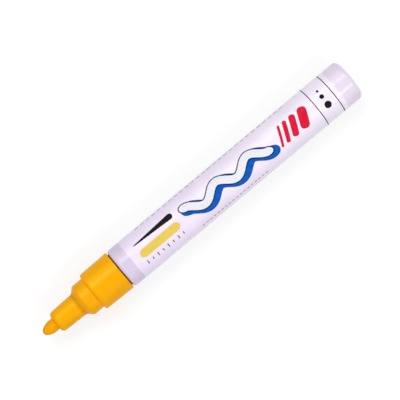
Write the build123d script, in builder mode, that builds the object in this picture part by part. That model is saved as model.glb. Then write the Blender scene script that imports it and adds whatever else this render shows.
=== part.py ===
"""A valve-action paint marker, lying along X with its nib towards -X.

The barrel is a drawn aluminium tube with a closed tail. Its mouth is rolled into the neck of a stepped
plastic collar, which holds a fibre nib and, in its spigot, a spring-loaded valve. Pressing the nib pushes
the valve stem off its seat and lets paint through. A steel ball in the barrel stirs the paint.

Millimetres, +Z up. The origin is on the surface that the marker lies on, under the middle of its length.
Along the marker, places are stations: distances from the tip of the nib.
"""

import os
from math import cos, pi, sin, sqrt

from build123d import *

# Barrel
BARREL_DIAMETER = 15.0
BARREL_LENGTH = 99.4
BARREL_WALL = 0.5
TAIL_THICKNESS = 1.0
TAIL_CORNER_RADIUS = 1.4
LIP_RADIUS = 0.9
LIP_LAND = 0.1

# Nib
NIB_DIAMETER = 4.5
NIB_REACH = 5.2
NIB_TRAVEL = 2.0
NIB_POINT_LENGTH = 4.0
NIB_TIP_RADIUS = 1.0
NIB_END_CHAMFER = 0.3
NIB_CLEARANCE = 0.05
NIB_STOP_CLEARANCE = 0.5

# Collar, outside
NOZZLE_LENGTH = 10.0
NOZZLE_WALL = 1.6
NOZZLE_TAPER = 0.3
NOZZLE_EDGE_LAND = 0.1
SHOULDER_LENGTH = 1.9
SHOULDER_FOOT_RADIUS = 1.2
SHOULDER_CREST_RADIUS = 0.8
CAP_SEAT_LENGTH = 4.1
CAP_STOP_HEIGHT = 1.2
GRIP_LENGTH = 11.7
GRIP_SETBACK = 0.05
GRIP_TAPER = 0.2
GRIP_EDGE_LAND = 0.3
MOUTH_GAP = 0.4

# Collar, inside and in the barrel
COLLAR_WALL = 1.4
MOUTH_LAND_LENGTH = 1.2
GUIDE_RIB_COUNT = 6
GUIDE_RIB_WIDTH = 0.9
GUIDE_CHANNEL_DEPTH = 0.45
CHAMBER_SETBACK = 1.0
CHAMBER_LENGTH = 4.2
NECK_CLEARANCE = 0.1
LIP_CLEARANCE = 0.05
SPIGOT_DEPTH = 9.4
SPIGOT_WALL = 1.1
SPIGOT_CLEARANCE = 0.15
SEAL_RIB_COUNT = 2
SEAL_RIB_WIDTH = 0.9
SEAL_RIB_SLOPE = 60.0
SEAL_RIB_CLEARANCE = 0.02

# Valve body, with the packing ring under its flange
PACKING_THICKNESS = 0.5
PACKING_INSET = 0.15
FLANGE_THICKNESS = 1.2
VALVE_LENGTH = 14.0
VALVE_WALL = 1.1
VALVE_CLEARANCE = 0.05
VALVE_PAINT_GAP = 0.8
SEAT_WALL = 1.5
SEAT_HOLE_DIAMETER = 3.4
SEAT_WIDTH = 0.6
LAND_LENGTH = 2.5
SOCKET_LENGTH = 4.5
SOCKET_WALL = 0.9
SOCKET_CLEARANCE = 0.1
SOCKET_SLOT_COUNT = 4
SOCKET_SLOT_WIDTH = 1.1
SOCKET_SLOT_FOOT = 0.8

# Valve stem
STEM_NIB_GAP = 0.1
STEM_PASSAGE = 0.25
STEM_RIB_COUNT = 4
STEM_RIB_WIDTH = 0.9
SEAT_GAP = 0.05
HEAD_LEDGE = 0.15
HEAD_RIM = 1.0
SPRING_BOSS_LENGTH = 1.0
SPRING_BOSS_CLEARANCE = 0.15
STEM_TAIL_DIAMETER = 2.4
STEM_TAIL_CLEARANCE = 0.1
STEM_TAIL_OVERHANG = 0.5
STEM_TAIL_CHAMFER = 0.3

# Valve spring
SPRING_DIAMETER = 4.1
SPRING_WIRE_DIAMETER = 0.4
SPRING_WIRE_SIDES = 6
SPRING_TURNS = 6
SPRING_SEAT_GAP = 0.05

# Spring retainer
RETAINER_PLUG_DEPTH = 2.0
RETAINER_CLEARANCE = 0.05
RETAINER_FLANGE_WIDTH = 1.7
RETAINER_FLANGE_THICKNESS = 0.8
RETAINER_WINDOW_COUNT = 4
RETAINER_WINDOW_WIDTH = 1.6
RETAINER_WINDOW_DEPTH = 1.2
RETAINER_SPRING_LEDGE = 0.15

# Mixing ball
BALL_DIAMETER = 5.0
BALL_CLEARANCE = 0.1
BALL_STOP_CLEARANCE = 0.3

# Stations along the marker
nozzle_front = NIB_REACH
shoulder_foot = nozzle_front + NOZZLE_LENGTH
shoulder_crest = shoulder_foot + SHOULDER_LENGTH
cap_stop = shoulder_crest + CAP_SEAT_LENGTH
grip_rear = cap_stop + GRIP_LENGTH
barrel_front = grip_rear + MOUTH_GAP
barrel_rear = barrel_front + BARREL_LENGTH
chamber_front = shoulder_crest + CHAMBER_SETBACK
chamber_rear = chamber_front + CHAMBER_LENGTH
spigot_front = barrel_front + LIP_RADIUS + LIP_CLEARANCE
spigot_rear = barrel_front + SPIGOT_DEPTH
flange_front = spigot_rear + PACKING_THICKNESS
flange_rear = flange_front + FLANGE_THICKNESS
seat_wall_front = flange_front - VALVE_LENGTH
seat_wall_rear = seat_wall_front + SEAT_WALL
socket_front = seat_wall_front - SOCKET_LENGTH
nib_rear = seat_wall_front - NIB_TRAVEL - NIB_STOP_CLEARANCE
retainer_front = flange_rear - RETAINER_PLUG_DEPTH
retainer_rear = flange_rear + RETAINER_FLANGE_THICKNESS
stem_front = nib_rear + STEM_NIB_GAP
stem_rear = retainer_rear + STEM_TAIL_OVERHANG
tail_inside = barrel_rear - TAIL_THICKNESS

# Radii that more than one piece shares
barrel_radius = BARREL_DIAMETER / 2
bore_radius = barrel_radius - BARREL_WALL
lip_hole_radius = barrel_radius - LIP_RADIUS - LIP_LAND
nib_radius = NIB_DIAMETER / 2
spigot_radius = bore_radius - SPIGOT_CLEARANCE
valve_bore_radius = spigot_radius - SPIGOT_WALL
seat_hole_radius = SEAT_HOLE_DIAMETER / 2
spring_inner_radius = (SPRING_DIAMETER - SPRING_WIRE_DIAMETER) / 2
spring_outer_radius = (SPRING_DIAMETER + SPRING_WIRE_DIAMETER) / 2
head_radius = spring_outer_radius + HEAD_LEDGE
cup_radius = head_radius + VALVE_PAINT_GAP
stem_tail_radius = STEM_TAIL_DIAMETER / 2

# The marker's axis, the plane that holds its half outlines, and cross sections along it
nib_tip = Vector(-barrel_rear / 2, 0, barrel_radius)
MARKER_AXIS = Axis(nib_tip, (1, 0, 0))
HALF_OUTLINE = Plane(nib_tip, x_dir=(1, 0, 0), z_dir=(0, -1, 0))


def cross_section(station):
    """The plane across the marker at a station, facing the tail."""
    return Plane(nib_tip + Vector(station, 0, 0), x_dir=(0, 1, 0), z_dir=(1, 0, 0))


# Barrel: closed tail with a rounded corner, mouth rolled in to a lip of the same wall
lip_bevel = LIP_RADIUS - BARREL_WALL
lip_inside = barrel_front + BARREL_WALL
tail_bevel = TAIL_CORNER_RADIUS - BARREL_WALL

with BuildPart() as barrel:
    with BuildSketch(HALF_OUTLINE):
        with BuildLine():
            FilletPolyline(
                (barrel_front, lip_hole_radius),
                (barrel_front, barrel_radius),
                (barrel_rear, barrel_radius),
                (barrel_rear, 0),
                (tail_inside, 0),
                (tail_inside, bore_radius - tail_bevel),
                (tail_inside - tail_bevel, bore_radius),
                (lip_inside + lip_bevel, bore_radius),
                (lip_inside, bore_radius - lip_bevel),
                (lip_inside, lip_hole_radius),
                radius=(0, LIP_RADIUS, TAIL_CORNER_RADIUS, *[0] * 7),
                close=True,
            )
        make_face()
    revolve(axis=MARKER_AXIS)

# Collar: three stepped tiers, a neck for the barrel's lip and a spigot with sealing ribs
mouth_radius = nib_radius + NIB_CLEARANCE
nozzle_front_radius = mouth_radius + NOZZLE_WALL
nozzle_rear_radius = nozzle_front_radius + NOZZLE_TAPER
nozzle_edge_radius = NOZZLE_WALL - NOZZLE_EDGE_LAND
grip_rear_radius = barrel_radius - GRIP_SETBACK
grip_front_radius = grip_rear_radius - GRIP_TAPER
grip_edge_radius = CAP_STOP_HEIGHT - GRIP_EDGE_LAND
cap_seat_radius = grip_front_radius - CAP_STOP_HEIGHT
neck_radius = lip_hole_radius - NECK_CLEARANCE
chamber_radius = cap_seat_radius - COLLAR_WALL
chamber_flare = valve_bore_radius - chamber_radius
channel_radius = mouth_radius + GUIDE_CHANNEL_DEPTH
channel_front = nozzle_front + MOUTH_LAND_LENGTH
seal_rib_height = SPIGOT_CLEARANCE - SEAL_RIB_CLEARANCE
seal_rib_pitch = (spigot_rear - spigot_front) / SEAL_RIB_COUNT

with BuildPart() as collar:
    with BuildSketch(HALF_OUTLINE):
        with BuildLine():
            FilletPolyline(
                (nozzle_front, mouth_radius),
                (nozzle_front, nozzle_front_radius),
                (shoulder_foot, nozzle_rear_radius),
                (shoulder_crest, cap_seat_radius),
                (cap_stop, cap_seat_radius),
                (cap_stop, grip_front_radius),
                (grip_rear, grip_rear_radius),
                (grip_rear, neck_radius),
                (spigot_front, neck_radius),
                (spigot_front, spigot_radius),
                (spigot_rear, spigot_radius),
                (spigot_rear, valve_bore_radius),
                (chamber_rear + chamber_flare, valve_bore_radius),
                (chamber_rear, chamber_radius),
                (chamber_front, chamber_radius),
                (chamber_front, mouth_radius),
                radius=(
                    0,
                    nozzle_edge_radius,
                    SHOULDER_FOOT_RADIUS,
                    SHOULDER_CREST_RADIUS,
                    0,
                    grip_edge_radius,
                    *[0] * 10,
                ),
                close=True,
            )
        make_face()
        for rib in range(SEAL_RIB_COUNT):
            with Locations((spigot_front + seal_rib_pitch * (rib + 1 / 2), spigot_radius)):
                Trapezoid(
                    SEAL_RIB_WIDTH,
                    seal_rib_height,
                    SEAL_RIB_SLOPE,
                    align=(Align.CENTER, Align.MIN),
                )
    revolve(axis=MARKER_AXIS)
    # Paint channels along the nib, between the ribs that guide it
    with BuildSketch(cross_section(channel_front)):
        Circle(channel_radius)
        with PolarLocations(0, GUIDE_RIB_COUNT):
            Rectangle(
                channel_radius,
                GUIDE_RIB_WIDTH,
                align=(Align.MIN, Align.CENTER),
                mode=Mode.SUBTRACT,
            )
    extrude(amount=chamber_front - channel_front, mode=Mode.SUBTRACT)

# Nib: a rod of bonded fibre whose point is a small round tip blended into the side by one arc
point_arc_radius = (nib_radius**2 + NIB_POINT_LENGTH**2 - 2 * NIB_TIP_RADIUS * NIB_POINT_LENGTH) / (
    2 * (nib_radius - NIB_TIP_RADIUS)
)
tip_share = NIB_TIP_RADIUS / (point_arc_radius - NIB_TIP_RADIUS)
tip_end = (
    NIB_TIP_RADIUS - tip_share * (NIB_POINT_LENGTH - NIB_TIP_RADIUS),
    tip_share * (point_arc_radius - nib_radius),
)

with BuildPart() as nib:
    with BuildSketch(HALF_OUTLINE):
        with BuildLine():
            tip = TangentArc((0, 0), tip_end, tangent=(0, 1))
            side = TangentArc(tip_end, (NIB_POINT_LENGTH, nib_radius), tangent=tip % 1)
            Polyline(
                side @ 1,
                (nib_rear - NIB_END_CHAMFER, nib_radius),
                (nib_rear, nib_radius - NIB_END_CHAMFER),
                (nib_rear, 0),
                (0, 0),
            )
        make_face()
    revolve(axis=MARKER_AXIS)

# Packing ring, pressed between the collar's spigot and the valve's flange
with BuildPart() as valve_packing:
    with BuildSketch(cross_section(spigot_rear)):
        Circle(spigot_radius - PACKING_INSET)
        Circle(valve_bore_radius + PACKING_INSET, mode=Mode.SUBTRACT)
    extrude(amount=PACKING_THICKNESS)

# Valve body: a cup with a conical seat, a socket for the nib in front and a flange behind
land_radius = valve_bore_radius - VALVE_CLEARANCE
valve_tube_radius = cup_radius + VALVE_WALL
socket_radius = nib_radius + SOCKET_CLEARANCE
socket_outer_radius = socket_radius + SOCKET_WALL

with BuildPart() as valve_body:
    with BuildSketch(HALF_OUTLINE):
        with BuildLine():
            Polyline(
                (socket_front, socket_radius),
                (socket_front, socket_outer_radius),
                (seat_wall_front, socket_outer_radius),
                (seat_wall_front, land_radius),
                (seat_wall_front + LAND_LENGTH, land_radius),
                (seat_wall_front + LAND_LENGTH, valve_tube_radius),
                (flange_front, valve_tube_radius),
                (flange_front, spigot_radius),
                (flange_rear, spigot_radius),
                (flange_rear, cup_radius),
                (seat_wall_rear, cup_radius),
                (seat_wall_rear, seat_hole_radius + SEAT_WIDTH),
                (seat_wall_rear - SEAT_WIDTH, seat_hole_radius),
                (seat_wall_front, seat_hole_radius),
                (seat_wall_front, socket_radius),
                close=True,
            )
        make_face()
    revolve(axis=MARKER_AXIS)
    # Slots that let paint out of the socket, round the nib's end
    with BuildSketch(cross_section(socket_front)):
        with PolarLocations(0, SOCKET_SLOT_COUNT):
            Rectangle(
                socket_outer_radius + SOCKET_CLEARANCE,
                SOCKET_SLOT_WIDTH,
                align=(Align.MIN, Align.CENTER),
            )
    extrude(amount=SOCKET_LENGTH - SOCKET_SLOT_FOOT, mode=Mode.SUBTRACT)

# Valve stem: a fluted pusher, a conical head on the seat, a boss for the spring and a guide tail
pusher_radius = seat_hole_radius - STEM_PASSAGE
cone_front = seat_wall_rear - SEAT_WIDTH + SEAT_GAP - STEM_PASSAGE
cone_rear = cone_front + head_radius - pusher_radius
head_rear = cone_rear + HEAD_RIM
boss_radius = spring_inner_radius - SPRING_BOSS_CLEARANCE
boss_rear = head_rear + SPRING_BOSS_LENGTH

with BuildPart() as valve_stem:
    with BuildSketch(HALF_OUTLINE):
        with BuildLine():
            Polyline(
                (cone_front, 0),
                (cone_front, pusher_radius),
                (cone_rear, head_radius),
                (head_rear, head_radius),
                (head_rear, boss_radius),
                (boss_rear, boss_radius),
                (boss_rear, stem_tail_radius),
                (stem_rear - STEM_TAIL_CHAMFER, stem_tail_radius),
                (stem_rear, stem_tail_radius - STEM_TAIL_CHAMFER),
                (stem_rear, 0),
                close=True,
            )
        make_face()
    revolve(axis=MARKER_AXIS)
    # The pusher is a cross, so that paint passes it in the seat's hole
    with BuildSketch(cross_section(stem_front)):
        with PolarLocations(0, STEM_RIB_COUNT):
            Rectangle(pusher_radius, STEM_RIB_WIDTH, align=(Align.MIN, Align.CENTER))
        Circle(pusher_radius, mode=Mode.INTERSECT)
    extrude(amount=cone_front - stem_front)

# Spring retainer: a plug in the valve's cup with windows for the paint
retainer_hole_radius = stem_tail_radius + STEM_TAIL_CLEARANCE
retainer_plug_radius = cup_radius - RETAINER_CLEARANCE
retainer_flange_radius = cup_radius + RETAINER_FLANGE_WIDTH
window_inner_radius = spring_outer_radius + RETAINER_SPRING_LEDGE

with BuildPart() as spring_retainer:
    with BuildSketch(HALF_OUTLINE):
        with BuildLine():
            Polyline(
                (retainer_front, retainer_hole_radius),
                (retainer_front, retainer_plug_radius),
                (flange_rear, retainer_plug_radius),
                (flange_rear, retainer_flange_radius),
                (retainer_rear, retainer_flange_radius),
                (retainer_rear, retainer_hole_radius),
                close=True,
            )
        make_face()
    revolve(axis=MARKER_AXIS)
    with BuildSketch(cross_section(retainer_front)):
        with PolarLocations(window_inner_radius, RETAINER_WINDOW_COUNT):
            Rectangle(
                RETAINER_WINDOW_DEPTH,
                RETAINER_WINDOW_WIDTH,
                align=(Align.MIN, Align.CENTER),
            )
    extrude(amount=retainer_rear - retainer_front, mode=Mode.SUBTRACT)

# Valve spring: one wire wound between the stem's head and the retainer, each half turn a pair of arcs
spring_radius = SPRING_DIAMETER / 2
wire_radius = SPRING_WIRE_DIAMETER / 2
wire_front = head_rear + SPRING_SEAT_GAP + wire_radius
wire_rear = retainer_front - SPRING_SEAT_GAP - wire_radius
spring_pitch = (wire_rear - wire_front) / SPRING_TURNS


def wire_point(turn):
    """The middle of the wire after a number of turns from the valve's head."""
    angle = 2 * pi * turn
    return nib_tip + Vector(
        wire_front + spring_pitch * turn, spring_radius * cos(angle), spring_radius * sin(angle)
    )


def wire_direction(turn):
    """The way that the wire runs after a number of turns."""
    angle = 2 * pi * turn
    run = Vector(spring_pitch / (2 * pi), -spring_radius * sin(angle), spring_radius * cos(angle))
    return run.normalized()


def arcs_meet(start, start_way, end, end_way):
    """The point where two arcs meet that leave start and reach end in the given directions."""
    chord = end - start
    along = chord.dot(start_way + end_way)
    bend = 2 * (1 - start_way.dot(end_way))
    reach = (sqrt(along**2 + bend * chord.dot(chord)) - along) / bend
    return (start + end + (start_way - end_way) * reach) / 2


with BuildPart() as valve_spring:
    with BuildLine() as winding:
        for half_turn in range(2 * SPRING_TURNS):
            start, end = wire_point(half_turn / 2), wire_point((half_turn + 1) / 2)
            start_way, end_way = wire_direction(half_turn / 2), wire_direction((half_turn + 1) / 2)
            middle = arcs_meet(start, start_way, end, end_way)
            first = TangentArc(start, middle, tangent=start_way)
            TangentArc(middle, end, tangent=first % 1)
    with BuildSketch(Plane(wire_point(0), z_dir=wire_direction(0))):
        RegularPolygon(wire_radius, SPRING_WIRE_SIDES)
    sweep(path=winding.line)

# Mixing ball: loose in the barrel, lying on the bore half way along its run
ball_radius = BALL_DIAMETER / 2
ball_run_front = stem_rear + NIB_TRAVEL + BALL_STOP_CLEARANCE + ball_radius
ball_run_rear = tail_inside - BALL_STOP_CLEARANCE - ball_radius
ball_centre = nib_tip + Vector(
    (ball_run_front + ball_run_rear) / 2, 0, ball_radius + BALL_CLEARANCE - bore_radius
)

with BuildPart() as mixing_ball:
    with Locations(ball_centre):
        Sphere(ball_radius)

# Labels and files
pieces = {
    "barrel": barrel,
    "collar": collar,
    "nib": nib,
    "valve_packing": valve_packing,
    "valve_body": valve_body,
    "valve_stem": valve_stem,
    "spring_retainer": spring_retainer,
    "valve_spring": valve_spring,
    "mixing_ball": mixing_ball,
}
os.makedirs("parts", exist_ok=True)
for name, piece in pieces.items():
    piece.part.label = name
    export_step(piece.part, f"parts/{name}.step")

# Least gap between points of the wire that are at least half a turn apart
samples_per_turn = 24
wire = [wire_point(step / samples_per_turn) for step in range(samples_per_turn * SPRING_TURNS + 1)]
least_gap = min(
    (a - b).length
    for place, a in enumerate(wire)
    for b in wire[place + samples_per_turn // 2 :]
)
print(f"length {barrel_rear:.2f}, nib {nib_rear:.2f}, ball run +-{(ball_run_rear - ball_run_front) / 2:.2f}")
print(f"spring pitch {spring_pitch:.2f}, least gap between turns {least_gap - SPRING_WIRE_DIAMETER:.2f}")
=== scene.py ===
# %% [markdown]
# # A paint marker, dressed in Blender
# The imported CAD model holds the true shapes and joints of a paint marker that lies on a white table.
# This lesson gives it its looks: smooth turned skins, lacquer, coloured plastic, soaked fibre and
# printed ink. The ends of the pieces are read from the CAD frame, in metres, and the shapes between
# them are drawn from there, so each skin covers the CAD piece that it replaces.

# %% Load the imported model
from math import atan, cos, pi, radians, sin, tan

import bmesh
import bpy
from mathutils import Color, Matrix, Vector


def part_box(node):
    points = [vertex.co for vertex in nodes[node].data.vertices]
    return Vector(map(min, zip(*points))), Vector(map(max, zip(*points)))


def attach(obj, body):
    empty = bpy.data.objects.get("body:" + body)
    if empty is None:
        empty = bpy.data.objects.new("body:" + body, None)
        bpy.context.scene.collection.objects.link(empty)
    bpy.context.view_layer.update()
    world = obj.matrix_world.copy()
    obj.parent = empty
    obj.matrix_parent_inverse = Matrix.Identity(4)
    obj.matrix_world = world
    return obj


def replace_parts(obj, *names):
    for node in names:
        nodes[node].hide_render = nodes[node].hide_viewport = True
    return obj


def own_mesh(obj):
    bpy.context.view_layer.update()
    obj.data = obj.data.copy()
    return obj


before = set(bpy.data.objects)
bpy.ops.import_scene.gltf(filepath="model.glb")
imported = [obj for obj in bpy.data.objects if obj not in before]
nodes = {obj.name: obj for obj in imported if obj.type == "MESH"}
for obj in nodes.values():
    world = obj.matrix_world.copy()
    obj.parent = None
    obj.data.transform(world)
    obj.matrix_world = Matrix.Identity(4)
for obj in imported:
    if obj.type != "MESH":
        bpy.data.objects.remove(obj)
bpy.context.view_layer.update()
print("CAD nodes:", ", ".join(sorted(nodes)))

# %% [markdown]
# ## Stations along the marker
# A turned object is easiest to describe as a lathe worker would: how far from the nib's tip, and how
# far from the axis. The tip and the axis are read from the boxes of two CAD nodes, and the turned
# skins and the print are drawn in millimetres from there.

# %% The marker's own coordinates
MM = 0.001
nib_low, nib_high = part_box("nib")
barrel_low, barrel_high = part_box("barrel")
barrel_radius = (barrel_high.z - barrel_low.z) / 2 / MM
nib_tip = Vector((nib_low.x, 0, (barrel_low.z + barrel_high.z) / 2))


def spot(station, radius):
    """The point at a station and a radius, in the half plane above the axis."""
    return nib_tip + Vector((station, 0, radius)) * MM


def station_of(x):
    """How far a place along the frame's X axis is from the nib's tip, in millimetres."""
    return (x - nib_tip.x) / MM


mouth = station_of(barrel_low.x)
tail = station_of(barrel_high.x)
print(f"barrel radius {barrel_radius:.2f} mm, from station {mouth:.1f} to {tail:.1f} mm")

# %% [markdown]
# ## Camera
# The photograph looks nearly straight down on the marker, which crosses the picture at about 40
# degrees. The curved ends of the barrel show that the eye is above the marker's front half, so the
# camera stands there and looks a little towards the tail. A long lens keeps the sides nearly parallel.

# %% Camera
EYE_HEIGHT = 0.70
EYE_ALONG = -0.0208
AIM_ALONG = 0.002
EYE_ASIDE = 0.00075
PICTURE_WIDTH = 0.1333
SENSOR_WIDTH = 36
MARKER_TURN = radians(39.9)

camera_data = bpy.data.cameras.new("photo_camera")
camera_data.sensor_width = SENSOR_WIDTH
camera_data.lens = SENSOR_WIDTH * EYE_HEIGHT / PICTURE_WIDTH
camera = bpy.data.objects.new("photo_camera", camera_data)
bpy.context.scene.collection.objects.link(camera)

eye = Vector((EYE_ALONG, EYE_ASIDE, nib_tip.z + EYE_HEIGHT))
aim = Vector((AIM_ALONG, EYE_ASIDE, nib_tip.z))
ahead = (aim - eye).normalized()
right = ahead.cross(Vector((sin(MARKER_TURN), cos(MARKER_TURN), 0))).normalized()
up = right.cross(ahead)
camera.matrix_world = Matrix.Translation(eye) @ Matrix((right, up, -ahead)).transposed().to_4x4()
bpy.context.scene.camera = camera
bpy.context.scene.view_settings.view_transform = "Standard"
print(f"lens {camera_data.lens:.0f} mm at {EYE_HEIGHT} m")

# %% [markdown]
# ## Rays that see the background
# The picture's background is pure white. Making it white with lamps would wash out the marker, so table
# and world look brighter only to rays that show a background: those from the camera, from a mirror or
# through glass.

# %% Helper for background rays
def is_seen(tree):
    """A socket that is 1 for camera, glossy and transmission rays, and 0 for all others."""
    path = tree.nodes.new("ShaderNodeLightPath")
    either = tree.nodes.new("ShaderNodeMath")
    either.operation = "MAXIMUM"
    tree.links.new(path.outputs["Is Camera Ray"], either.inputs[0])
    tree.links.new(path.outputs["Is Glossy Ray"], either.inputs[1])
    seen = tree.nodes.new("ShaderNodeMath")
    seen.operation = "MAXIMUM"
    tree.links.new(either.outputs[0], seen.inputs[0])
    tree.links.new(path.outputs["Is Transmission Ray"], seen.inputs[1])
    return seen.outputs[0]


print("table and world share the test for background rays")

# %% [markdown]
# ## Table white
# The table is a white sheet. One part of its white is a diffuse paper, which keeps the marker's soft
# shadow. The rest is a glow for the rays above, so that the sheet comes out white where no shadow
# falls. The lamps light the sheet round the marker and leave its far parts darker, so the glow grows
# with the distance.

# %% Table white
PAPER_WHITE = 0.36
GLOW_NEAR = 0.69
GLOW_FAR = 0.87
LAMPLIGHT_FADES = (0.2, 0.7)

table_white = bpy.data.materials.new("table_white")
table_white.use_nodes = True
tree = table_white.node_tree
tree.nodes.remove(tree.nodes["Principled BSDF"])
paper = tree.nodes.new("ShaderNodeBsdfDiffuse")
paper.inputs["Color"].default_value = (PAPER_WHITE, PAPER_WHITE, PAPER_WHITE, 1)
place = tree.nodes.new("ShaderNodeTexCoord")
distance = tree.nodes.new("ShaderNodeVectorMath")
distance.operation = "LENGTH"
tree.links.new(place.outputs["Object"], distance.inputs[0])
spread = tree.nodes.new("ShaderNodeMapRange")
spread.inputs["From Min"].default_value = LAMPLIGHT_FADES[0]
spread.inputs["From Max"].default_value = LAMPLIGHT_FADES[1]
spread.inputs["To Min"].default_value = GLOW_NEAR
spread.inputs["To Max"].default_value = GLOW_FAR
tree.links.new(distance.outputs["Value"], spread.inputs["Value"])
share = tree.nodes.new("ShaderNodeMath")
share.operation = "MULTIPLY"
tree.links.new(is_seen(tree), share.inputs[0])
tree.links.new(spread.outputs["Result"], share.inputs[1])
glow = tree.nodes.new("ShaderNodeEmission")
tree.links.new(share.outputs[0], glow.inputs["Strength"])
both = tree.nodes.new("ShaderNodeAddShader")
tree.links.new(paper.outputs[0], both.inputs[0])
tree.links.new(glow.outputs[0], both.inputs[1])
tree.links.new(both.outputs[0], tree.nodes["Material Output"].inputs["Surface"])
print("the table glows with", GLOW_NEAR, "near the marker and", GLOW_FAR, "far from it")

# %% [markdown]
# ## Table
# The sheet reaches far beyond the picture. It lies a hair below the marker, because the ink on the
# barrel's underside has a thickness too.

# %% Table
TABLE_HALF = 2.0
TABLE_DROP = 0.00006

bm = bmesh.new()
bmesh.ops.create_grid(bm, x_segments=1, y_segments=1, size=TABLE_HALF)
bmesh.ops.translate(bm, verts=bm.verts[:], vec=(0, 0, -TABLE_DROP))
sheet = bpy.data.meshes.new("table")
bm.to_mesh(sheet)
bm.free()
sheet.materials.append(table_white)
table = bpy.data.objects.new("table", sheet)
bpy.context.scene.collection.objects.link(table)
print("table", 2 * TABLE_HALF, "m wide")

# %% [markdown]
# ## Light tent
# A product photographer lays such a pen in a tent of white cloth. The world is that tent: even and
# white all round, weaker as a light than as a background.

# %% Light tent
TENT_LIGHT = 0.4
TENT_SEEN = 1.0

world = bpy.data.worlds.new("light_tent")
world.use_nodes = True
bpy.context.scene.world = world
tree = world.node_tree
strength = tree.nodes.new("ShaderNodeMapRange")
strength.inputs["To Min"].default_value = TENT_LIGHT
strength.inputs["To Max"].default_value = TENT_SEEN
tree.links.new(is_seen(tree), strength.inputs["Value"])
tent = tree.nodes["Background"]
tent.inputs["Color"].default_value = (1, 1, 1, 1)
tree.links.new(strength.outputs["Result"], tent.inputs["Strength"])
print("the tent lights with", TENT_LIGHT)

# %% [markdown]
# ## Soft boxes
# Six area lights stand round the marker and face it. The key shows on all round surfaces as one long
# streak towards +Y. A weaker box below it gives the streak a soft outer side, and a small one gives the
# tail a second streak. The other three fill in what these leave dark: the near flank, the tail's flat
# end, and the collar's steps, which face the nib. They are hidden from reflections, so they add no
# streaks of their own.

# %% Soft boxes
LAMP_DISTANCE = 0.6


def softbox(name, along, tilt, length, width, watts, turn=0):
    """An area light that faces the marker, tilted from overhead towards +Y and turned about Z."""
    lamp = bpy.data.lights.new(name, "AREA")
    lamp.shape = "RECTANGLE"
    lamp.size = length
    lamp.size_y = width
    lamp.energy = watts
    box = bpy.data.objects.new(name, lamp)
    bpy.context.scene.collection.objects.link(box)
    box.matrix_world = (
        Matrix.Translation((along, 0, nib_tip.z))
        @ Matrix.Rotation(turn, 4, "Z")
        @ Matrix.Rotation(-tilt, 4, "X")
        @ Matrix.Translation((0, 0, LAMP_DISTANCE))
    )
    return box


softbox("key_softbox", along=0.018, tilt=radians(31), length=0.29, width=0.27, watts=1.2)
softbox("far_softbox", along=0.02, tilt=radians(57), length=0.36, width=0.24, watts=0.42)
softbox("tail_softbox", along=0.12, tilt=radians(-33), length=0.1, width=0.09, watts=0.28)
near_box = softbox("near_softbox", along=0.02, tilt=radians(-54), length=0.36, width=0.5, watts=1.25)
tail_fill = softbox(
    "tail_fill", along=0.06, tilt=radians(73), length=0.3, width=0.2, watts=0.6, turn=radians(-90)
)
nose_fill = softbox(
    "nose_fill", along=-0.04, tilt=radians(65), length=0.3, width=0.2, watts=0.35, turn=radians(90)
)
for box in (near_box, tail_fill, nose_fill):
    box.visible_glossy = False
print("lamps:", ", ".join(sorted(lamp.name for lamp in bpy.data.lights)))

# %% [markdown]
# ## A helper for finished pieces
# Every piece ends in the same way: smooth shading with marked sharp edges, an object at the origin and
# a body of the CAD model to ride on.

# %% Helper for finished pieces
SHARP_ANGLE = radians(32)


def piece_of(bm, name, body, slot, *materials):
    """Makes a finished bmesh an object that rides on a body. The slot argument is not used."""
    for face in bm.faces:
        face.smooth = True
    for edge in bm.edges:
        if edge.is_manifold and edge.calc_face_angle() > SHARP_ANGLE:
            edge.smooth = False
    mesh = bpy.data.meshes.new(name)
    bm.to_mesh(mesh)
    bm.free()
    for material in materials:
        mesh.materials.append(material)
    piece = bpy.data.objects.new(name, mesh)
    bpy.context.scene.collection.objects.link(piece)
    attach(piece, body)
    print(f"{name}: {len(mesh.polygons)} faces")
    return piece


print(f"edges over {SHARP_ANGLE:.2f} rad stay sharp")

# %% [markdown]
# ## A helper for turned skins
# Barrel, collar and nib are round about one axis, so each is a half outline that is spun. The outline
# starts as a few corner vertices. A vertex bevel rounds the corners, as a radius tool does on a lathe,
# and a full spin closes the skin. The Weighted Normal modifier keeps long flat runs shading flat beside
# their rounded edges.

# %% Helper for turned skins
SPIN_STEPS = 160
CORNER_STEPS = 8
WELD = 1e-8
FLAT_WEIGHT = 90


def turned(outline, closed):
    """Spins a half outline of (station, radius, rounding) corners round the marker's axis."""
    bm = bmesh.new()
    corners = [bm.verts.new(spot(station, radius)) for station, radius, _ in outline]
    following = corners[1:] + corners[:1] if closed else corners[1:]
    for start, end in zip(corners, following):
        bm.edges.new((start, end))
    places = [corner.co.copy() for corner in corners]
    for index, (_, _, rounding) in enumerate(outline):
        if not rounding:
            continue
        before, here, after = places[index - 1], places[index], places[(index + 1) % len(places)]
        turn = (here - before).angle(after - here)
        bmesh.ops.bevel(
            bm, geom=[corners[index]], affect="VERTICES", offset=rounding * MM * tan(turn / 2),
            offset_type="OFFSET", segments=CORNER_STEPS, profile=0.5, material=-1, clamp_overlap=False,
        )
    bmesh.ops.spin(
        bm, geom=bm.verts[:] + bm.edges[:], cent=nib_tip, axis=(1, 0, 0), angle=2 * pi,
        steps=SPIN_STEPS, use_merge=True,
    )
    bmesh.ops.remove_doubles(bm, verts=bm.verts[:], dist=WELD)
    bmesh.ops.recalc_face_normals(bm, faces=bm.faces[:])
    return bm


def flat_runs(piece):
    """Keeps long runs shading flat beside their rounded edges."""
    weighted = piece.modifiers.new("flat_runs", "WEIGHTED_NORMAL")
    weighted.keep_sharp = True
    weighted.weight = FLAT_WEIGHT
    return piece


print("skins are spun in", SPIN_STEPS, "steps")

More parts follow.
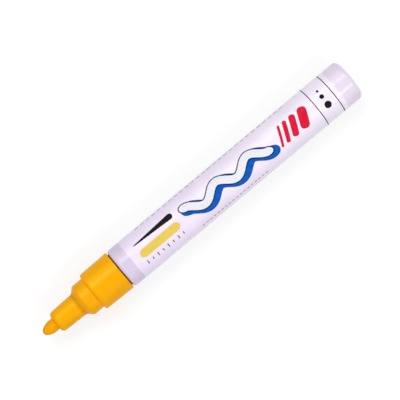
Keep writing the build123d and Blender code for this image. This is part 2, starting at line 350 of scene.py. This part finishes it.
# %% [markdown]
# ## Colours, noise and places
# No real surface has one flat colour. Each finish below starts from a noise texture on Object
# coordinates, which stay put when the marker moves or turns. A Mapping node stretches the noise into
# streaks where the real material has a grain. A place along the marker becomes a value from 0 to 1, so
# that a ramp can paint bands.

# %% Helpers for colours, noise and places
def screen(red, green, blue):
    """A colour as a screen shows it, 0 to 255 a channel, as the linear values that shaders take."""
    return (*Color((red / 255, green / 255, blue / 255)).from_srgb_to_scene_linear(), 1)


def noise_on(tree, scale, stretch=(1, 1, 1), detail=3.0):
    """A noise texture on Object coordinates, stretched by a Mapping node."""
    place = tree.nodes.new("ShaderNodeTexCoord")
    mapping = tree.nodes.new("ShaderNodeMapping")
    mapping.inputs["Scale"].default_value = stretch
    tree.links.new(place.outputs["Object"], mapping.inputs["Vector"])
    noise = tree.nodes.new("ShaderNodeTexNoise")
    noise.inputs["Scale"].default_value = scale
    noise.inputs["Detail"].default_value = detail
    tree.links.new(mapping.outputs["Vector"], noise.inputs["Vector"])
    return noise.outputs["Fac"]


def share_between(tree, first, last):
    """A value that goes from 0 at one station to 1 at another."""
    place = tree.nodes.new("ShaderNodeTexCoord")
    axes = tree.nodes.new("ShaderNodeSeparateXYZ")
    tree.links.new(place.outputs["Object"], axes.inputs[0])
    share = tree.nodes.new("ShaderNodeMapRange")
    share.inputs["From Min"].default_value = spot(first, 0).x
    share.inputs["From Max"].default_value = spot(last, 0).x
    tree.links.new(axes.outputs["X"], share.inputs["Value"])
    return share.outputs["Result"]


print("screen white is", screen(255, 255, 255))

# %% [markdown]
# ## Ramps, ranges and relief
# The values above drive three things: a colour ramp, a range for the roughness, and a bump with a depth
# in metres. Two colours can also be multiplied, as a tint or a painted shade is laid over a surface.

# %% Helpers for ramps, ranges and relief
def ramp_of(tree, value, *stops):
    """A colour ramp over a value, with (place, colour) stops."""
    ramp = tree.nodes.new("ShaderNodeValToRGB")
    elements = ramp.color_ramp.elements
    while len(elements) < len(stops):
        elements.new(0.5)
    for element, (place, colour) in zip(elements, stops):
        element.position = place
        element.color = colour
    tree.links.new(value, ramp.inputs["Fac"])
    return ramp.outputs["Color"]


def range_of(tree, value, low, high):
    """A value from 0 to 1 moved to a range."""
    span = tree.nodes.new("ShaderNodeMapRange")
    span.inputs["To Min"].default_value = low
    span.inputs["To Max"].default_value = high
    tree.links.new(value, span.inputs["Value"])
    return span.outputs["Result"]


def relief_of(tree, height, depth, below=None):
    """A normal from a height that goes up and down by a depth in metres."""
    bump = tree.nodes.new("ShaderNodeBump")
    bump.inputs["Distance"].default_value = depth
    tree.links.new(height, bump.inputs["Height"])
    if below:
        tree.links.new(below, bump.inputs["Normal"])
    return bump.outputs["Normal"]


def multiplied(tree, colour, tint):
    """One colour multiplied by another."""
    product = tree.nodes.new("ShaderNodeMix")
    product.data_type = "RGBA"
    product.blend_type = "MULTIPLY"
    product.inputs["Factor"].default_value = 1.0
    tree.links.new(colour, product.inputs["A"])
    tree.links.new(tint, product.inputs["B"])
    return product.outputs["Result"]


print("ramps, ranges and relief are ready")

# %% [markdown]
# ## A helper for whole finishes
# Most finishes on the marker need no more than one noise. It moves the colour between two close tones,
# changes the gloss a little and gives a very low relief. What is the same all over goes straight on the
# shader's sockets.

# %% Helper for whole finishes
TONE_STOPS = (0.3, 0.7)


def finish_of(name, dark, light, scale, rough, depth, stretch=(1, 1, 1), **constants):
    """A finish whose tone, gloss and relief follow one noise.

    Constants carry the names of the shader's sockets.
    """
    material = bpy.data.materials.new(name)
    material.use_nodes = True
    tree = material.node_tree
    shader = tree.nodes["Principled BSDF"]
    noise = noise_on(tree, scale, stretch)
    tones = ramp_of(tree, noise, (TONE_STOPS[0], dark), (TONE_STOPS[1], light))
    tree.links.new(tones, shader.inputs["Base Color"])
    tree.links.new(range_of(tree, noise, *rough), shader.inputs["Roughness"])
    tree.links.new(relief_of(tree, noise, depth), shader.inputs["Normal"])
    for socket, value in constants.items():
        shader.inputs[socket.replace("_", " ")].default_value = value
    return material


print("finishes are ready to be mixed")

# %% [markdown]
# ## Bands of lacquer
# The aluminium tube is dipped in a white lacquer with a cool violet tint. A brighter base coat is
# rolled on where the print goes, so a slightly greyer band shows at the mouth and at the tail. The coat
# gets whiter towards the tail, and it is more satin than the bare lacquer. Two ramps along X give the
# bands their colour and their gloss.

# %% Bands of lacquer
BASE_COAT = (38.2, 126.4)
COAT_EDGE = 0.12
MOUTH_LACQUER = screen(223, 209, 233)
BASE_FRONT = screen(246, 233, 255)
BASE_REAR = screen(250, 242, 255)
TAIL_LACQUER = screen(237, 225, 243)
BARE_ROUGHNESS = (0.25, 0.25, 0.25, 1)
COAT_ROUGHNESS = (0.36, 0.36, 0.36, 1)

barrel_lacquer = bpy.data.materials.new("barrel_lacquer")
barrel_lacquer.use_nodes = True
tree = barrel_lacquer.node_tree


def barrel_share(station):
    """A station as a share of the barrel's length."""
    return (station - mouth) / (tail - mouth)


along = share_between(tree, mouth, tail)
edges = [
    barrel_share(station)
    for station in (BASE_COAT[0] - COAT_EDGE, *BASE_COAT, BASE_COAT[1] + COAT_EDGE)
]
bands = ramp_of(tree, along, *zip(edges, (MOUTH_LACQUER, BASE_FRONT, BASE_REAR, TAIL_LACQUER)))
gloss = ramp_of(
    tree, along, *zip(edges, (BARE_ROUGHNESS, COAT_ROUGHNESS, COAT_ROUGHNESS, BARE_ROUGHNESS))
)
print("the base coat reaches from station", BASE_COAT[0], "to", BASE_COAT[1])

# %% [markdown]
# ## Surface of the lacquer
# Faint clouds in the white and small changes of gloss are multiplied over the bands. Lacquer flows
# before it sets, which leaves an orange peel: a low, wide relief under a glossy clear coat. The base
# coat ends in a step that a fingernail would just feel.

# %% Surface of the lacquer
COAT_STEP = 0.00002
CLOUD_SCALE = 140
CLOUD_TINT = screen(248, 247, 251)
GLOSS_SCALE = 420
GLOSS_DIP = screen(215, 215, 215)
NO_TINT = screen(255, 255, 255)
PEEL_SCALE = 900
PEEL_DEPTH = 0.000004

lacquer = tree.nodes["Principled BSDF"]
clouds = ramp_of(
    tree, noise_on(tree, CLOUD_SCALE), (TONE_STOPS[0], CLOUD_TINT), (TONE_STOPS[1], NO_TINT)
)
tree.links.new(multiplied(tree, bands, clouds), lacquer.inputs["Base Color"])
uneven = ramp_of(tree, noise_on(tree, GLOSS_SCALE), (0, GLOSS_DIP), (1, NO_TINT))
tree.links.new(multiplied(tree, gloss, uneven), lacquer.inputs["Roughness"])
peel = relief_of(tree, noise_on(tree, PEEL_SCALE, detail=1.0), PEEL_DEPTH)
tree.links.new(relief_of(tree, bands, COAT_STEP, below=peel), lacquer.inputs["Normal"])
lacquer.inputs["Specular IOR Level"].default_value = 0.31
lacquer.inputs["Coat Weight"].default_value = 0.15
lacquer.inputs["Coat Roughness"].default_value = 0.12
print("finish on the barrel:", barrel_lacquer.name)

# %% [markdown]
# ## Barrel
# The barrel is drawn from one aluminium slug: a thin wall, a thicker closed tail with a rounded corner,
# and a mouth that is rolled in over the collar's neck. The outline runs from the tail's middle along
# the outside, round the lip and back along the inside, so the spin gives a hollow tube with real wall
# thickness.

# %% Barrel
WALL = 0.5
TAIL_WALL = 1.0
LIP_ROUND = 0.9
LIP_HOLE = 6.5
TAIL_ROUND = 1.4

barrel_outline = [
    (tail, 0, 0),
    (tail, barrel_radius, TAIL_ROUND),
    (mouth, barrel_radius, LIP_ROUND),
    (mouth, LIP_HOLE, 0),
    (mouth + WALL, LIP_HOLE, 0),
    (mouth + WALL, barrel_radius - WALL, LIP_ROUND - WALL),
    (tail - TAIL_WALL, barrel_radius - WALL, TAIL_ROUND - WALL),
    (tail - TAIL_WALL, 0, 0),
]
bm = turned(barrel_outline, False)
barrel_skin = piece_of(bm, "barrel_skin", "housing", "lacquered_barrel", barrel_lacquer)
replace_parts(flat_runs(barrel_skin), "barrel")

# %% [markdown]
# ## Collar sizes
# From the nib to the barrel the collar steps up three times: a slim tapered nozzle, a tier that the cap
# grips, and a grip that is nearly as thick as the barrel. Its two ends are read from the CAD node, and
# the steps between them are measured from the front end.

# %% Collar sizes
NOZZLE_LENGTH = 10.0
SHOULDER_LENGTH = 1.9
CAP_SEAT_LENGTH = 4.1
GRIP_LENGTH = 11.7
NECK_DEPTH = 0.95

collar_low, collar_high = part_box("collar")
nozzle_front = station_of(collar_low.x)
shoulder_foot = nozzle_front + NOZZLE_LENGTH
shoulder_crest = shoulder_foot + SHOULDER_LENGTH
cap_stop = shoulder_crest + CAP_SEAT_LENGTH
grip_rear = cap_stop + GRIP_LENGTH
neck_rear = mouth + NECK_DEPTH
spigot_rear = station_of(collar_high.x)
print(f"nozzle from {nozzle_front:.1f}, cap stop at {cap_stop:.1f}, grip to {grip_rear:.1f} mm")

# %% [markdown]
# ## Collar plastic
# The collar is moulded in the colour of the paint, a warm amber yellow. Moulded plastic has slow flow
# streaks along the marker, a fine satin grain and a weak gloss. Light that enters the pigmented surface
# comes back amber, so the reflection is tinted too: a trace of Metallic does that, with a low specular
# level. The neck in the narrow joint behind the grip gets a dark brown: painted shade for the deep
# shadow in that gap.

# %% Collar plastic
collar_plastic = finish_of(
    "collar_plastic", dark=screen(250, 172, 0), light=screen(254, 180, 1),
    scale=260, rough=(0.21, 0.27), depth=0.000002, stretch=(0.25, 1, 1),
    Specular_IOR_Level=0.06, Metallic=0.055,
)
# Painted shade: a dark brown finish for the neck, where the joint lies in deep shadow.
painted_neck_shade = finish_of(
    "painted_neck_shade", dark=screen(92, 54, 6), light=screen(128, 80, 10),
    scale=1500, rough=(0.6, 0.8), depth=0.000006, Specular_IOR_Level=0.1,
)
print("collar finishes:", collar_plastic.name, painted_neck_shade.name)

# %% [markdown]
# ## Painted shade in the corner
# The plastic is painted a little darker at the foot of the shoulder: painted shade for the shadow in
# that corner. A ramp along X with its darkest stop in the corner is multiplied over the plastic's
# tones.

# %% Painted shade in the corner
SHADE_BEFORE_FOOT = 1.25
SHADE_BEHIND_FOOT = 1.05
CORNER_SHADE_TINT = screen(228, 218, 130)

tree = collar_plastic.node_tree
shader = tree.nodes["Principled BSDF"]
plastic_tones = shader.inputs["Base Color"].links[0].from_socket
corner = share_between(tree, shoulder_foot - SHADE_BEFORE_FOOT, shoulder_foot + SHADE_BEHIND_FOOT)
# Painted shade: the ramp darkens the plastic where the shoulder's foot lies in shadow.
painted_corner_shade = ramp_of(tree, corner, (0, NO_TINT), (0.5, CORNER_SHADE_TINT), (1, NO_TINT))
tree.links.new(multiplied(tree, plastic_tones, painted_corner_shade), shader.inputs["Base Color"])
print(f"stain round station {shoulder_foot:.1f}")

# %% [markdown]
# ## Collar
# The edges that a finger meets are rounded. Behind the grip a neck passes through the barrel's lip, and
# a hollow spigot with the valve reaches into the barrel. The outline is closed: it goes along the
# outside to the spigot's end and comes back through the bore. The neck's faces take the dark brown
# painted shade of the gap, the others the plastic.

# %% Collar
NIB_BORE = 2.3
NOZZLE_TIP_RADIUS = 3.9
NOZZLE_FOOT_RADIUS = 4.2
CAP_SEAT_RADIUS = 6.05
GRIP_FRONT_RADIUS = 7.25
GRIP_REAR_RADIUS = 7.45
NECK_RADIUS = 6.4
SPIGOT_RADIUS = 6.85
VALVE_BORE = 5.75
CHAMBER_RADIUS = 4.65
CHAMBER_SETBACK = 1.0
CHAMBER_CONE = (1.2, 2.3)
NOZZLE_ROUND = 1.5
FOOT_ROUND = 1.2
CREST_ROUND = 0.8
GRIP_ROUND = 0.9
EDGE_ROUND = 0.12

collar_outline = [
    (nozzle_front, NIB_BORE, 0),
    (nozzle_front, NOZZLE_TIP_RADIUS, NOZZLE_ROUND),
    (shoulder_foot, NOZZLE_FOOT_RADIUS, FOOT_ROUND),
    (shoulder_crest, CAP_SEAT_RADIUS, CREST_ROUND),
    (cap_stop, CAP_SEAT_RADIUS, EDGE_ROUND),
    (cap_stop, GRIP_FRONT_RADIUS, GRIP_ROUND),
    (grip_rear, GRIP_REAR_RADIUS, EDGE_ROUND),
    (grip_rear, NECK_RADIUS, 0),
    (neck_rear, NECK_RADIUS, 0),
    (neck_rear, SPIGOT_RADIUS, 0),
    (spigot_rear, SPIGOT_RADIUS, 0),
    (spigot_rear, VALVE_BORE, 0),
    (cap_stop + CHAMBER_CONE[1], VALVE_BORE, 0),
    (cap_stop + CHAMBER_CONE[0], CHAMBER_RADIUS, 0),
    (shoulder_crest + CHAMBER_SETBACK, CHAMBER_RADIUS, 0),
    (shoulder_crest + CHAMBER_SETBACK, NIB_BORE, 0),
]
bm = turned(collar_outline, True)
# Painted shade: the neck's faces in the joint take the dark brown finish.
for face in bm.faces:
    if grip_rear < station_of(face.calc_center_median().x) < neck_rear:
        face.material_index = 1
collar_skin = piece_of(bm, "collar_skin", "housing", "amber_plastic", collar_plastic, painted_neck_shade)
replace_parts(flat_runs(collar_skin), "collar")

# %% [markdown]
# ## Nib fibre
# The nib is a rod of bonded fibre, soaked with amber paint. The fibres run along the rod, so the noise
# is pressed into long thin streaks, with a dull, slightly rough surface and more relief than the
# plastic has.

# %% Nib fibre
nib_fibre = finish_of(
    "nib_fibre", dark=screen(246, 163, 2), light=screen(255, 181, 6),
    scale=3600, rough=(0.55, 0.85), depth=0.000012, stretch=(0.06, 1, 1),
    Specular_IOR_Level=0.15, Specular_Tint=(1.0, 0.7, 0.2, 1),
)
print("nib finish:", nib_fibre.name)

# %% [markdown]
# ## Nib
# A bullet nib ends in a small round tip that runs into the rod in one long curve. Two bevelled corners
# give that curve: a short one at the tip and a long one at the side, which meet on their common slope.

# %% Nib
TIP_CORNER = 0.62
TIP_ROUND = 1.0
SIDE_CORNER = 1.55
SIDE_ROUND = 5.2
END_ROUND = 0.3

nib_end = station_of(nib_high.x)
nib_radius = (nib_high.z - nib_low.z) / 2 / MM
nib_outline = [
    (0, 0, 0),
    (0, TIP_CORNER, TIP_ROUND),
    (SIDE_CORNER, nib_radius, SIDE_ROUND),
    (nib_end, nib_radius, END_ROUND),
    (nib_end, 0, 0),
]
nib_rod = piece_of(turned(nib_outline, False), "nib_rod", "nib_slider", "nib_fibre", nib_fibre)
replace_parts(flat_runs(nib_rod), "nib")

# %% [markdown]
# ## Flat shapes for printing
# The print on a marker is silk-screened: each colour is a film of ink, a few hundredths of a millimetre
# thick, that stands on the lacquer. A picture texture would blur, so every printed shape is real
# geometry. It is first drawn flat, on a label whose X is the station and whose Y is the way round the
# barrel.

# %% Helpers for flat shapes
PATCH_CORNER_STEPS = 6
DISC_SIDES = 28


def patch(length, width, rounding):
    """A flat rectangle with rounded corners round the label's origin."""
    bm = bmesh.new()
    bmesh.ops.create_grid(bm, x_segments=1, y_segments=1, size=0.5)
    bmesh.ops.scale(bm, vec=(length, width, 1), verts=bm.verts[:])
    bmesh.ops.bevel(
        bm, geom=bm.verts[:], affect="VERTICES", offset=rounding, offset_type="OFFSET",
        segments=PATCH_CORNER_STEPS, profile=0.5, material=-1,
    )
    return bm


def disc(radius):
    """A flat disc round the label's origin."""
    bm = bmesh.new()
    bmesh.ops.create_circle(bm, cap_ends=True, segments=DISC_SIDES, radius=radius)
    return bm


def stamp(sheet, shape, station, around, ink):
    """Copies a flat shape to a place on the sheet, in one of the sheet's inks."""
    bmesh.ops.translate(shape, verts=shape.verts[:], vec=(station, around, 0))
    for face in shape.faces:
        face.material_index = ink
    block = bpy.data.meshes.new("printing_block")
    shape.to_mesh(block)
    shape.free()
    sheet.from_mesh(block)
    bpy.data.meshes.remove(block)


print("flat shapes: patch and disc")

# %% [markdown]
# ## Printing on a round barrel
# A flat sheet of shapes is cut into narrow strips, given the film's thickness and bent round the
# barrel. The strips let it bend, and the film's foot lies a few thousandths of a millimetre in the
# lacquer, so no gap shows below it.

# %% Helper for printing
STRIP = 0.4
INK_TOP = 0.02
INK_FOOT = -0.006
CUT_SLACK = 1e-6


def printed(sheet, name, *inks, top=INK_TOP):
    """Cuts a flat sheet into strips, gives it thickness and bends it round the barrel."""
    bmesh.ops.triangulate(sheet, faces=sheet.faces[:])
    low = min(vert.co.y for vert in sheet.verts)
    high = max(vert.co.y for vert in sheet.verts)
    for cut in range(1, int((high - low) / STRIP) + 1):
        bmesh.ops.bisect_plane(
            sheet, geom=sheet.verts[:] + sheet.edges[:] + sheet.faces[:],
            plane_co=(0, low + cut * STRIP, 0), plane_no=(0, 1, 0), dist=CUT_SLACK,
        )
    film = bmesh.ops.extrude_face_region(sheet, geom=sheet.faces[:])["geom"]
    raised = [part for part in film if isinstance(part, bmesh.types.BMVert)]
    bmesh.ops.translate(sheet, verts=sheet.verts[:], vec=(0, 0, INK_FOOT))
    bmesh.ops.translate(sheet, verts=raised, vec=(0, 0, top - INK_FOOT))
    for vert in sheet.verts:
        station, around, height = vert.co
        turn = around / barrel_radius
        radius = barrel_radius + height
        vert.co = nib_tip + Vector((station, -radius * sin(turn), radius * cos(turn))) * MM
    bmesh.ops.remove_doubles(sheet, verts=sheet.verts[:], dist=WELD)
    bmesh.ops.recalc_face_normals(sheet, faces=sheet.faces[:])
    return piece_of(sheet, name, "housing", "lacquered_barrel", *inks)


print("ink films stand", INK_TOP, "mm proud of the lacquer")

# %% [markdown]
# ## Inks
# Screen ink is opaque and a little duller than the lacquer, with a slightly uneven film. Five inks are
# enough: black, white, blue, red and the yellow that tells the colour of the paint.

# %% Inks
def ink_of(name, thin, full):
    """A screen ink between the tone of its thin and of its full film."""
    return finish_of(
        name, thin, full, scale=700, rough=(0.3, 0.44), depth=0.000001, Specular_IOR_Level=0.06
    )


black_ink = ink_of("black_ink", screen(20, 18, 23), screen(8, 7, 11))
white_ink = ink_of("white_ink", screen(232, 233, 243), screen(239, 240, 250))
blue_ink = ink_of("blue_ink", screen(14, 96, 198), screen(0, 80, 176))
red_ink = ink_of("red_ink", screen(230, 28, 64), screen(217, 16, 50))
yellow_ink = ink_of("yellow_ink", screen(236, 209, 98), screen(231, 202, 86))
print("inks:", black_ink.name, white_ink.name, blue_ink.name, red_ink.name, yellow_ink.name)

# %% [markdown]
# ## Line samples
# Near the collar the barrel tells what the marker does: a black line that swells from thin to broad, a
# band of the paint's yellow and a row of ticks. The swelling line is a rounded patch whose front end is
# made narrow.

# %% Line samples
LINE_LENGTH = 16.5
LINE_MIDDLE = 49.6
LINE_WIDTH = 2.3
LINE_ROUND = 1.1
LINE_AROUND = -3.2
LINE_THIN_END = 0.16
BAND_WIDTH = 3.0
BAND_ROUND = 1.45
BAND_AROUND = 0.9
TICK_COUNT = 8
TICK_STEP = 2.17
TICK_WIDTH = 0.32
TICK_LENGTHS = (1.5, 1.0)
TICK_ROUND = 0.12
TICK_AROUND = 4.3

sheet = bmesh.new()
swelling = patch(LINE_LENGTH, LINE_WIDTH, LINE_ROUND)
for vert in swelling.verts:
    vert.co.y *= LINE_THIN_END + (1 - LINE_THIN_END) * (vert.co.x / LINE_LENGTH + 0.5)
stamp(sheet, swelling, LINE_MIDDLE, LINE_AROUND, ink=0)
stamp(sheet, patch(LINE_LENGTH, BAND_WIDTH, BAND_ROUND), LINE_MIDDLE, BAND_AROUND, ink=1)
first_tick = LINE_MIDDLE - TICK_STEP * (TICK_COUNT - 1) / 2
for tick in range(TICK_COUNT):
    mark = patch(TICK_WIDTH, TICK_LENGTHS[tick % 2], TICK_ROUND)
    stamp(sheet, mark, first_tick + TICK_STEP * tick, TICK_AROUND, ink=0)
printed(sheet, "line_samples", black_ink, yellow_ink)

# %% [markdown]
# ## A flat wave
# A brush stroke swings along the middle of the barrel. It starts as a patch with round ends. Its long
# edges are subdivided and every vertex is moved onto a sine wave, square to the wave, so that the
# stroke keeps its width.

# %% Helper for the wave
WAVE_LENGTH = 34.0
WAVE_SWING = 1.75
WAVE_COUNT = 2.5
WAVE_CUTS = 96
ROUND_END = 0.48


def wave(width):
    """A flat ribbon with round ends that swings to and fro along the label."""
    bm = patch(WAVE_LENGTH + width, width, width * ROUND_END)
    runs = [edge for edge in bm.edges if edge.calc_length() > width]
    bmesh.ops.subdivide_edges(bm, edges=runs, cuts=WAVE_CUTS)
    swings = 2 * pi * WAVE_COUNT / WAVE_LENGTH
    for vert in bm.verts:
        along, across = vert.co.xy
        slope = atan(WAVE_SWING * swings * cos(swings * along))
        vert.co.x = along - across * sin(slope)
        vert.co.y = WAVE_SWING * sin(swings * along) + across * cos(slope)
    return bm


print("the wave swings", WAVE_COUNT, "times over", WAVE_LENGTH, "mm")

# %% [markdown]
# ## White wave with a blue shade
# The stroke is white with a dark outline, over a blue shade. The shade is a broader wave, printed first
# and a little aside. An inset leaves a rim on the white wave for the outline, and its film lies over
# the blue one, as on a real screen print.

# %% White wave
WAVE_WIDTH = 3.4
WAVE_OUTLINE = 0.36
WAVE_MIDDLE = (79.0, -0.4)
SHADE_WIDTH = 4.6
SHADE_ASIDE = (1.05, 1.15)
OVERPRINT_TOP = 0.034

sheet = bmesh.new()
stamp(sheet, wave(SHADE_WIDTH), WAVE_MIDDLE[0] + SHADE_ASIDE[0], WAVE_MIDDLE[1] + SHADE_ASIDE[1], ink=0)
printed(sheet, "wave_shade", blue_ink)

sheet = bmesh.new()
stamp(sheet, wave(WAVE_WIDTH), *WAVE_MIDDLE, ink=0)
outline = bmesh.ops.inset_region(
    sheet, faces=sheet.faces[:], thickness=WAVE_OUTLINE, use_even_offset=True, use_boundary=True
)["faces"]
for face in outline:
    face.material_index = 1
printed(sheet, "white_wave", white_ink, black_ink, top=OVERPRINT_TOP)

# %% [markdown]
# ## Red strokes
# Four red strokes, each broader than the one before, show what the tip can draw. Each is a patch with
# round ends that is turned a little, and the gaps between them are equal.

# %% Red strokes
STROKE_FIRST = 101.6
STROKE_AROUND = 0.2
STROKE_WIDTHS = (0.9, 1.5, 2.3, 3.3)
STROKE_LENGTH = 7.6
STROKE_GAP = 1.3
STROKE_ROUND = 0.42
STROKE_LEAN = Matrix.Rotation(radians(24), 3, "Z")

station = STROKE_FIRST
sheet = bmesh.new()
for width in STROKE_WIDTHS:
    stroke = patch(width, STROKE_LENGTH, width * STROKE_ROUND)
    bmesh.ops.rotate(stroke, verts=stroke.verts[:], cent=(0, 0, 0), matrix=STROKE_LEAN)
    stamp(sheet, stroke, station + width / 2, STROKE_AROUND, ink=0)
    station += width + STROKE_GAP
printed(sheet, "red_strokes", red_ink)

# %% [markdown]
# ## Rings and dots
# Two thin black rings close the print near the tail, with three dots of growing size between them. A
# ring goes all the way round, so it is a small rectangle that is spun like the skins.

# %% Rings and dots
RING_WIDTH = 0.3
RING_STATIONS = {"front_ring": 117.2, "rear_ring": 124.4}
DOT_STATION = 120.95
DOTS = ((-3.6, 0.45), (-1.2, 0.8), (2.2, 1.25))

ring_foot = barrel_radius + INK_FOOT
ring_top = barrel_radius + INK_TOP
for name, station in RING_STATIONS.items():
    ring_outline = [
        (station, ring_foot, 0),
        (station, ring_top, 0),
        (station + RING_WIDTH, ring_top, 0),
        (station + RING_WIDTH, ring_foot, 0),
    ]
    piece_of(turned(ring_outline, True), name, "housing", "lacquered_barrel", black_ink)

sheet = bmesh.new()
for around, radius in DOTS:
    stamp(sheet, disc(radius), DOT_STATION, around, ink=0)
printed(sheet, "tail_dots", black_ink)

# %% [markdown]
# ## Fine rules
# Broken rules run along both sides of the print, one long with long dashes, one short with short ones.
# Each dash is a thin patch, and the gaps are a share of the dash.

# %% Fine rules
RULE_WIDTH = 0.26
RULE_ROUND = 0.1
RULE_PITCH = 1.6
RULES = (
    {"around": -9.2, "first": 46, "last": 112, "dash": 1.5},
    {"around": 7.6, "first": 64, "last": 94, "dash": 1.0},
)

sheet = bmesh.new()
for rule in RULES:
    step = RULE_PITCH * rule["dash"]
    for mark in range(int((rule["last"] - rule["first"]) / step)):
        dash = patch(rule["dash"], RULE_WIDTH, RULE_ROUND)
        stamp(sheet, dash, rule["first"] + step * mark, rule["around"], ink=0)
printed(sheet, "fine_rules", black_ink)

# %% [markdown]
# ## Valve spring
# The spring is one steel wire wound in six turns. A circle stands across the wire's path, and a spin
# with a step along the axis winds it. When the nib is pressed, the real spring shortens towards the
# retainer that it rests on; here it is wound at the length of the CAD piece.

# %% Valve spring
WIRE_RADIUS = 0.2
WIRE_SIDES = 14
COIL_TURNS = 6
TURN_STEPS = 36

spring_steel = finish_of(
    "spring_steel", dark=screen(150, 150, 152), light=screen(196, 196, 198),
    scale=900, rough=(0.18, 0.32), depth=0.000001, Metallic=1.0,
)
wire_low, wire_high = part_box("valve_spring")
coil_radius = (wire_high.z - wire_low.z) / 2 / MM - WIRE_RADIUS
coil_run = station_of(wire_high.x) - station_of(wire_low.x) - 2 * WIRE_RADIUS
coil_steps = TURN_STEPS * COIL_TURNS

bm = bmesh.new()
bmesh.ops.create_circle(bm, segments=WIRE_SIDES, radius=WIRE_RADIUS * MM)
bmesh.ops.rotate(bm, verts=bm.verts[:], cent=(0, 0, 0), matrix=Matrix.Rotation(pi / 2, 3, "X"))
bmesh.ops.translate(bm, verts=bm.verts[:], vec=spot(station_of(wire_low.x) + WIRE_RADIUS, coil_radius))
bmesh.ops.spin(
    bm, geom=bm.verts[:] + bm.edges[:], cent=nib_tip, axis=(1, 0, 0), angle=2 * pi * COIL_TURNS,
    steps=coil_steps, dvec=(coil_run / coil_steps * MM, 0, 0),
)
bmesh.ops.holes_fill(bm, edges=[edge for edge in bm.edges if edge.is_boundary], sides=0)
bmesh.ops.recalc_face_normals(bm, faces=bm.faces[:])
spring_wire = piece_of(bm, "spring_wire", "housing", "spring_steel", spring_steel)
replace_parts(spring_wire, "valve_spring")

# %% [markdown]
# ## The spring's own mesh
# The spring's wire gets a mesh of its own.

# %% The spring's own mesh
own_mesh(spring_wire)

# %% [markdown]
# ## Mixing ball
# A loose steel ball stirs the paint when the marker is shaken, and the paint dulls its polish here and
# there. The CAD mesh of a sphere has two faces without area at its poles, so one operator makes a clean
# sphere of the same size in the same place.

# %% Mixing ball
BALL_SIDES = 48
BALL_RINGS = 24

ball_steel = finish_of(
    "ball_steel", dark=screen(168, 168, 168), light=screen(204, 204, 206),
    scale=300, rough=(0.12, 0.28), depth=0.0000005, Metallic=1.0,
)
ball_low, ball_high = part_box("mixing_ball")
bm = bmesh.new()
bmesh.ops.create_uvsphere(
    bm, u_segments=BALL_SIDES, v_segments=BALL_RINGS, radius=(ball_high.z - ball_low.z) / 2
)
bmesh.ops.translate(bm, verts=bm.verts[:], vec=(ball_low + ball_high) / 2)
stirring_ball = piece_of(bm, "stirring_ball", "stirrer", "ball_steel", ball_steel)
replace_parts(stirring_ball, "mixing_ball")

# %% [markdown]
# ## Pieces inside
# Valve body, retainer, stem and packing ring already have their true shapes in the CAD model. They keep
# them and only get finishes: two moulded plastics and a black rubber.

# %% Pieces inside
valve_plastic = finish_of(
    "valve_plastic", dark=screen(222, 222, 216), light=screen(236, 236, 230),
    scale=500, rough=(0.35, 0.5), depth=0.000002, stretch=(0.3, 1, 1),
)
stem_plastic = finish_of(
    "stem_plastic", dark=screen(196, 200, 204), light=screen(214, 217, 220),
    scale=600, rough=(0.3, 0.45), depth=0.000002, stretch=(0.3, 1, 1),
)
packing_rubber = finish_of(
    "packing_rubber", dark=screen(30, 30, 31), light=screen(48, 48, 49),
    scale=2500, rough=(0.7, 0.9), depth=0.000008,
)
inside = {
    "valve_body": valve_plastic,
    "spring_retainer": valve_plastic,
    "valve_stem": stem_plastic,
    "valve_packing": packing_rubber,
}
for name, material in inside.items():
    nodes[name].material_slots[0].material = material
print("finishes set on", ", ".join(inside))
